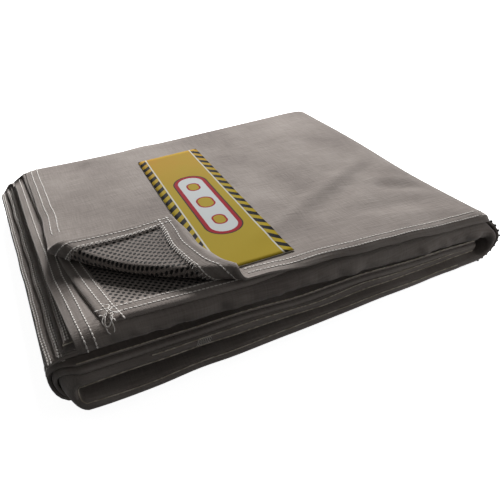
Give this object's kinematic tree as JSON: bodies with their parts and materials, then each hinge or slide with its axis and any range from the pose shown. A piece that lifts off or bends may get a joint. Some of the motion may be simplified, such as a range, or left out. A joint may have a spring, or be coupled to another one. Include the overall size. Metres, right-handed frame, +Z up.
{
  "type": "drop cloth",
  "caption": "Folded canvas drop cloth with stitched hems, a dotted non-slip back and one corner turned over a card label.",
  "frame": {"origin": "middle of the bounding box in plan, at the packet's flat bottom", "axes": "+Z up; -Y towards the front, where the row folds show; -X towards the hemmed side; +X towards the nested folds"},
  "size_m": [0.3376, 0.2764, 0.0653],
  "materials": {
    "cloth": "matt woven cotton canvas",
    "label": "printed coated card"
  },
  "bodies": {
    "root": {"cloth": "cloth", "label": "label"}
  },
  "joints": []
}
